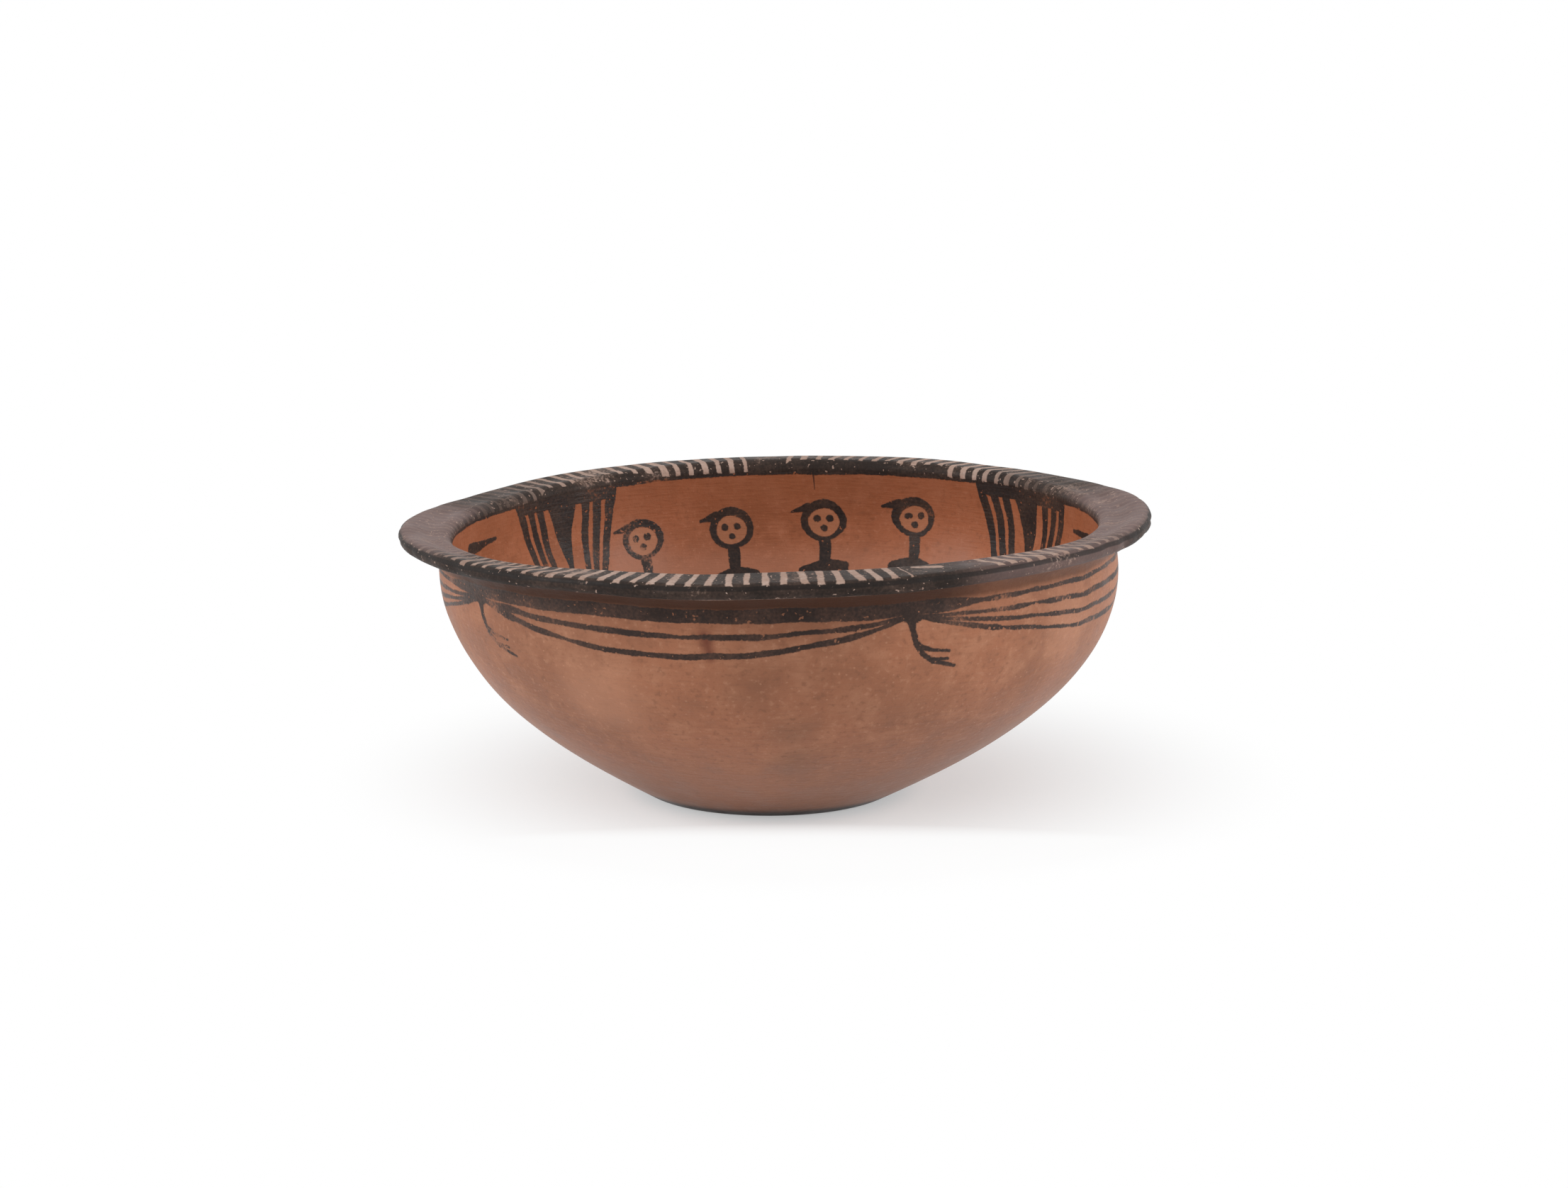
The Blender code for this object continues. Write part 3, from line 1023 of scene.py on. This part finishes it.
def paint_outside(finish):
    """Burnished, smoked clay, a stain, a wash, marks, painted light and shade, and a painted foot shadow.
    """
    tree, shader = dull_shader(finish)
    shader.inputs["Sheen Weight"].default_value = BURNISH
    shader.inputs["Sheen Roughness"].default_value = BURNISH_ROUGHNESS
    body = placed(tree, fired_clay, OUTSIDE_CLAY)
    angle, level = paint_place(tree)
    stray_across, stray_up = strayed(tree, OUTSIDE_WANDER)

    from_knot, gap = from_last_knot(angle)
    share = from_knot.step("DIVIDE", gap)
    to_knot = from_knot - (share > 0.5) * gap
    at_side = gap > SIDE_GAPS_FROM
    # A line hangs in a parabola, one deep half way along the front and deeper where the gap is wider
    hang = share * (1.0 - share) * 4.0 * (gap * (1 / FRONT_GAP))
    swags = swag_marks(tree, hang, KNOT_LEVEL - level - stray_up, at_side)
    band_half = BAND_HALF - at_side * abs(to_knot).ramp(*BAND_THINNING)
    band = abs(level + stray_up * BAND_WANDER - BAND_LEVEL + hang * BAND_SAG) - band_half
    across = to_knot * OUTSIDE_MM_PER_DEGREE + stray_across * SPRIG_WANDER
    over_knot = level - KNOT_LEVEL
    sprig_spot = spot_at(tree, across, over_knot)
    sprigs = nearest(*[stroke(tree, sprig_spot, *twig) for twig in SPRIG])
    knots = dot_mark(tree, spot_at(tree, across * KNOT_NARROWING, over_knot), (0.0, 0.0), KNOT_HALF)
    past_knot = at_side * abs(to_knot).ramp(*PAST_KNOT)
    rubbed = only_within(abs(angle - RUBBED_SPRIG) - RUBBED_HALF, level - RUBBED_TOP).ramp(*SPRIG_WEAR)
    wear = rubbed + past_knot * PAST_KNOT_WEAR
    cover, thin = brushed(tree, nearest(band, swags, knots, sprigs), wear)

    smoke = level + grain_amount(tree, SMOKE_SIZE, 3.0) * SMOKE_REACH
    beside = (angle - STAIN_ANGLE) * OUTSIDE_MM_PER_DEGREE + stray_across * STAIN_WANDER
    stain = stroke(tree, spot_at(tree, beside, level), *STAIN)
    along = angle * OUTSIDE_MM_PER_DEGREE + stray_across * PATCH_WANDER
    patch_spot = spot_at(tree, along, level + stray_up * PATCH_WANDER)
    # Painted light: pale patches high on both sides of the wall
    side_lights = patch_marks(tree, patch_spot, OUTSIDE_MM_PER_DEGREE, SIDE_LIGHT_PATCHES)
    # These clouds are painted shade, darker patches low on the front of the wall
    clouds = patch_marks(tree, patch_spot, OUTSIDE_MM_PER_DEGREE, FRONT_SHADE_PATCHES)
    drawn = level + stray_up
    layers = (
        (smoke.ramp(*SMOKE_FADE), SMOKE_COLOUR),
        (side_lights.ramp(*SIDE_LIGHT_FADE), SIDE_LIGHT_COLOUR),
        (clouds.ramp(*FRONT_SHADE_FADE), FRONT_SHADE_COLOUR),
        # Painted shadow round the foot
        (drawn.ramp(*FOOT_SHADOW_FADE), FOOT_SHADOW_COLOUR),
        (stain.ramp(*STAIN_FADE), STAIN_COLOUR),
        # Brown wash with painted shade under the rim
        (drawn.ramp(*WASH_AND_SHADE_FADE) * (1.0 - past_knot * WASH_AND_SHADE_LOST), WASH_AND_SHADE_COLOUR),
    )
    clay = layered(tree, body.outputs["Color"], layers)
    lay_slip(tree, shader, body, clay, mixed(tree, thin, *OUTSIDE_SLIP), cover, OUTSIDE_DENSITY)


paint_outside(painted_outside)


# Rim flange
# The last and thickest coil, luted on the neck and turned outward over a cove, then smoothed to a
# rounded crest and lip. Its top and lip are covered in dark slip, with short strokes of pale clay
# left across it like spokes. On the rim, millimetres count from the throat over the crest.

LIP_HEIGHT = 0.106
COVE_RADIUS = 0.007
THROAT_RADIUS = 0.0045
THROAT_EDGE = 0.1050
LIP_ROWS = 17
CURVE_ROWS = 11
CREST_ROWS = 9
SHORT_ROWS = 4

RIM_CLAY = {"Warm": linear(176, 148, 134), "Smoked": linear(150, 120, 104), "Pale": linear(198, 178, 166)}
RIM_SLIP = (linear(32, 25, 22), linear(66, 52, 45))
RIM_DENSITY = 0.98
# Painted reflection of the room on the flange at both sides, also used for one rubbed place
REFLECTION_AND_WEAR_COLOUR = linear(138, 113, 109)
LIP_LINE_COLOUR = linear(16, 14, 14)
RIM_GLOSS = 0.15
RIM_SMOOTHER = 0.06
RIM_DEPTH = 0.4
RIM_MM_PER_DEGREE = 2.42
RIM_WANDER = {"Size": 14.0, "Reach": 0.9}

SPOKE_COUNT = 133
SPOKE_LEAN = 0.13
LEAN_MIDDLE = 11.0
SPOKE_HALF = 1.0
SPOKE_WIDER = 0.6
SPOKE_MIDDLE = 10.4
SPOKE_REACH = 10.8
SPOKE_LONGER = 1.2
SHORT_SIZE = 45.0
SHORT_START = (0.48, 0.62, 0.0, 6.0)
# At the back, spokes on one side of the panel are whole, and on the other only outer ends are left
CLEAR_ANGLE = -169.5
CLEAR_FADE = (6.0, 8.5)
BROKEN_ANGLE = 167.0
BROKEN_FADE = (9.0, 13.0, 5.5, 0.0)
PANEL_ANGLE = 26.0
PANEL_HALF = 6.0
BACK_PANEL_ANGLE = 182.0
BACK_PANEL_HALF = 3.3
RIM_LEAF = ((-4.6, 8.6), (4.6, 11.0), 0.6, 2.2)
RIM_LEAF_ANGLE = 24.0


def spoke_marks(tree, angle, over, stray_across, stray_over):
    """Pale strokes over the crest, uneven from one to the next, with two gaps and a leaf in one."""
    count = angle * (SPOKE_COUNT / 360.0)
    number = count.step("FLOOR")
    chance = added(tree, "TexWhiteNoise", {"W": number}, noise_dimensions="1D")
    parts = added(tree, "SeparateColor", {"Color": chance.outputs["Color"]})
    lean, width, reach = amounts(parts, "Red", "Green", "Blue")
    across = (count - number - 0.5) * (RIM_MM_PER_DEGREE * 360.0 / SPOKE_COUNT) + stray_across
    across = across + (lean - 0.5) * (over - LEAN_MIDDLE) * SPOKE_LEAN
    drawn = over + stray_over
    short = grain_amount(tree, SHORT_SIZE, 1.0).ramp(*SHORT_START)
    short = short * abs(angle - CLEAR_ANGLE).ramp(*CLEAR_FADE)
    short = short.step("MAXIMUM", abs(angle - BROKEN_ANGLE).ramp(*BROKEN_FADE))
    back_panel = abs(angle % 360.0 - BACK_PANEL_ANGLE) - BACK_PANEL_HALF
    panels = nearest(abs(angle - PANEL_ANGLE) - PANEL_HALF, back_panel) * RIM_MM_PER_DEGREE
    spokes = only_within(
        abs(across) - width * SPOKE_WIDER - SPOKE_HALF,
        abs(drawn - SPOKE_MIDDLE) - reach * SPOKE_LONGER - SPOKE_REACH,
        short - drawn,
        panels * -1.0,
    )
    leaf_spot = spot_at(tree, (angle - RIM_LEAF_ANGLE) * RIM_MM_PER_DEGREE, over)
    return nearest(spokes, stroke(tree, leaf_spot, *RIM_LEAF))


SLIP_END = 28.6
CREST_OVER = 9.0
CREST_WEAR = (5.0, 10.0, 0.08, 0.02)
TO_FRONT = (-0.2, 0.2)
FRONT_SPOKES = 0.10
# Painted reflection: a little of it at the front as well
FRONT_REFLECTION = 0.06
SPOKE_FADE = (0.62, 0.86, 1.0, 0.12)
# Painted reflection: how far towards the sides, and from throat to lip, the slip looks paler
REFLECTION_ENDS = (0.89, 0.99, 0.0, 0.56)
REFLECTION_INNER = (1.0, 4.0, 0.2, 1.0)
REFLECTION_OUTER = (20.0, 24.0, 1.0, 0.0)
RUBBED_SIDE = 47.0
RUBBED_SIDE_FADE = (12.0, 22.0, 0.34, 0.0)
LIP_LINE = 23.2
LIP_LINE_HALF = 0.9
LIP_LINE_WANDER = 0.4
LIP_LINE_FADE = (0.3, -0.3, 0.0, 0.8)


def paint_rim(finish):
    """Dark slip with pale spokes, painted reflection at both sides, one rubbed place, darkest along the
    lip.
    """
    tree, shader = dull_shader(finish)
    shader.inputs["Specular IOR Level"].default_value = RIM_GLOSS
    body = placed(tree, fired_clay, RIM_CLAY)
    angle, over = paint_place(tree)
    stray_across, stray_over = strayed(tree, RIM_WANDER)

    turn = angle * math.radians(1.0)
    sideways = abs(turn.step("SINE"))
    front = turn.step("COSINE").ramp(*TO_FRONT)
    faded = sideways - front * FRONT_SPOKES
    on_crest = abs(over - CREST_OVER).ramp(*CREST_WEAR)
    spokes = brushed(tree, spoke_marks(tree, angle, over, stray_across, stray_over), on_crest)[0]
    slip, thin = brushed(tree, over - SLIP_END + stray_over, on_crest)
    cover = slip * (1.0 - spokes * faded.ramp(*SPOKE_FADE))

    # Painted reflection: the slip looks paler towards both sides, less so down the throat and on the lip
    rubbed = (sideways + front * FRONT_REFLECTION).ramp(*REFLECTION_ENDS)
    rubbed = rubbed * over.ramp(*REFLECTION_INNER) * over.ramp(*REFLECTION_OUTER)
    # Rubbing wears the slip paler at one more place
    rubbed = rubbed.step("MAXIMUM", abs(angle - RUBBED_SIDE).ramp(*RUBBED_SIDE_FADE))
    lip_line = abs(over - LIP_LINE + stray_over * LIP_LINE_WANDER) - LIP_LINE_HALF
    layers = (
        (rubbed, REFLECTION_AND_WEAR_COLOUR),
        (lip_line.ramp(*LIP_LINE_FADE), LIP_LINE_COLOUR),
    )
    paint = layered(tree, mixed(tree, thin, *RIM_SLIP), layers)
    clay = body.outputs["Color"]
    lay_slip(tree, shader, body, clay, paint, cover, RIM_DENSITY, RIM_SMOOTHER, RIM_DEPTH)


painted_rim = bpy.data.materials.new("painted_rim")
paint_rim(painted_rim)

quarter = math.pi / 2
lip_middle = (LIP_MIDDLE, LIP_HEIGHT)
lip_top = LIP_HEIGHT + LIP_RADIUS
lip_under = LIP_HEIGHT - LIP_RADIUS
cove_middle = (NECK_RADIUS + COVE_RADIUS, lip_under - COVE_RADIUS)
cove_low = cove_middle[1]
cove_levels = (cove_low + quarter * COVE_RADIUS, cove_low)
throat = NECK_RADIUS - WALL_THICKNESS
throat_middle = (throat + THROAT_RADIUS, HEIGHT - THROAT_RADIUS)
crest_over = quarter * THROAT_RADIUS
crest = (throat_middle[0], HEIGHT, crest_over)
lip_over = crest_over + math.hypot(LIP_MIDDLE - crest[0], HEIGHT - lip_top)
under_over = lip_over + math.pi * LIP_RADIUS
cove_over = under_over + LIP_MIDDLE - cove_middle[0]

lip_arc = arc(lip_middle, LIP_RADIUS, 90, -90, (lip_over, under_over), LIP_ROWS)
under = straight((LIP_MIDDLE, lip_under, under_over), (cove_middle[0], lip_under, cove_over), SHORT_ROWS)
cove = arc(cove_middle, COVE_RADIUS, 90, 180, cove_levels, CURVE_ROWS)
neck = straight((NECK_RADIUS, cove_low, cove_low), (NECK_RADIUS, NECK_HEIGHT, NECK_HEIGHT), SHORT_ROWS)
throat_wall = straight(
    (throat, THROAT_EDGE, THROAT_EDGE - throat_middle[1]), (throat, throat_middle[1], 0.0), SHORT_ROWS
)
throat_arc = arc(throat_middle, THROAT_RADIUS, 180, 90, (0.0, crest_over), CURVE_ROWS)
top = straight(crest, (LIP_MIDDLE, lip_top, lip_over), CREST_ROWS)
clay_piece(
    "rim_flange",
    [
        Skin(painted_rim, lip_arc),
        Skin(painted_rim, under),
        Skin(painted_outside, cove),
        Skin(painted_outside, neck),
        joint((NECK_RADIUS, NECK_HEIGHT), inside_point(NECK_RUN - LAP)),
        inner_skin(NECK_RUN - LAP, NECK_RUN + THROAT_EDGE - NECK_HEIGHT),
        Skin(painted_rim, throat_wall),
        Skin(painted_rim, throat_arc),
        Skin(painted_rim, top),
    ],
)


# Floor, light and camera
# A plain floor of white paper that keeps the basin's soft shadow, a broad lamp on each side in a
# white room, and a camera at the photograph's height and distance.

FLOOR_HALF = 6.0
FLOOR_COLOUR = (0.94, 0.94, 0.95, 1.0)
FLOOR_ROUGHNESS = 0.9
SHADOW_MIDDLE = (0.015, 0.03, 0.0)
FLOOR_GLOW = (0.05, 0.20, 0.35, 1.0)
FRONT_GLOW = (-0.032, -0.082, 0.0, 0.92)
RAY_KINDS = ("Is Camera Ray", "Is Glossy Ray", "Is Transmission Ray")

floor_mesh = bpy.data.meshes.new("studio_floor")
floor_corners = [(x * FLOOR_HALF, y * FLOOR_HALF, 0.0) for x, y in ((-1, -1), (1, -1), (1, 1), (-1, 1))]
floor_mesh.from_pydata(floor_corners, [], [(0, 1, 2, 3)])
studio_floor = into_scene("studio_floor", floor_mesh)


def seen_directly(tree):
    """One where the camera sees a thing by itself, or mirrored, or through glass."""
    straight_on, mirrored, through = amounts(added(tree, "LightPath", {}), *RAY_KINDS)
    return straight_on.step("MAXIMUM", mirrored).step("MAXIMUM", through)


def whiten_floor(finish):
    """Matt white paper, plain white to the camera away from the basin's shadow."""
    tree, shader = dull_shader(finish)
    shader.inputs["Base Color"].default_value = FLOOR_COLOUR
    shader.inputs["Roughness"].default_value = FLOOR_ROUGHNESS
    shader.inputs["Specular IOR Level"].default_value = 0.0
    where = added(tree, "TexCoord", {}).outputs["Object"]
    away = Amount(tree, vector_step(tree, "DISTANCE", where, SHADOW_MIDDLE, "Value"))
    behind = amounts(added(tree, "SeparateXYZ", {"Vector": where}), "Y")[0]
    glow = away.ramp(*FLOOR_GLOW).step("MAXIMUM", behind.ramp(*FRONT_GLOW))
    white = added(tree, "Emission", {}).outputs["Emission"]
    values = {"Fac": glow * seen_directly(tree), 1: shader.outputs["BSDF"], 2: white}
    blend = added(tree, "MixShader", values).outputs["Shader"]
    tree.links.new(blend, tree.nodes["Material Output"].inputs["Surface"])


white_floor = bpy.data.materials.new("white_floor")
whiten_floor(white_floor)
floor_mesh.materials.append(white_floor)

LAMPS = (("left_lamp", (-1.9, -0.55, 1.05), 29.5), ("right_lamp", (1.9, -0.55, 0.95), 28.5))
LAMP_SIZE = 1.0
LAMP_AIM = Vector((0.0, 0.0, 0.06))
ROOM_COLOUR = (1.0, 1.0, 1.0, 1.0)
ROOM_LIGHT = 0.47

for name, place, power in LAMPS:
    light = bpy.data.lights.new(name, "AREA")
    light.size = LAMP_SIZE
    light.energy = power
    holder = into_scene(name, light)
    holder.location = place
    holder.rotation_euler = (LAMP_AIM - Vector(place)).to_track_quat("-Z", "Y").to_euler()

world = bpy.data.worlds.new("white_room")
bpy.context.scene.world = world
world.use_nodes = True
room = world.node_tree
sky = room.nodes["Background"]
sky.inputs["Color"].default_value = ROOM_COLOUR
feed(room, sky.inputs["Strength"], seen_directly(room).ramp(0.0, 1.0, ROOM_LIGHT, 1.0))

IMAGE_WIDTH = 2212
FOCAL_PIXELS = 5447
LOOK_OFFSET = (14.0, 79.2)
SENSOR_WIDTH = 36.0
CAMERA_DISTANCE = 1.5
CAMERA_RISE = math.radians(11.72)
LOOK_HEIGHT = 0.055

camera_data = bpy.data.cameras.new("photo_camera")
camera_data.sensor_width = SENSOR_WIDTH
camera_data.lens = SENSOR_WIDTH * FOCAL_PIXELS / IMAGE_WIDTH
camera_data.shift_x = LOOK_OFFSET[0] / IMAGE_WIDTH
camera_data.shift_y = LOOK_OFFSET[1] / IMAGE_WIDTH
camera = into_scene("photo_camera", camera_data)
camera_back = CAMERA_DISTANCE * math.cos(CAMERA_RISE)
camera.location = (0.0, -camera_back, LOOK_HEIGHT + CAMERA_DISTANCE * math.sin(CAMERA_RISE))
camera.rotation_euler = (math.pi / 2 - CAMERA_RISE, 0.0, 0.0)
bpy.context.scene.camera = camera
bpy.context.scene.view_settings.view_transform = "Standard"
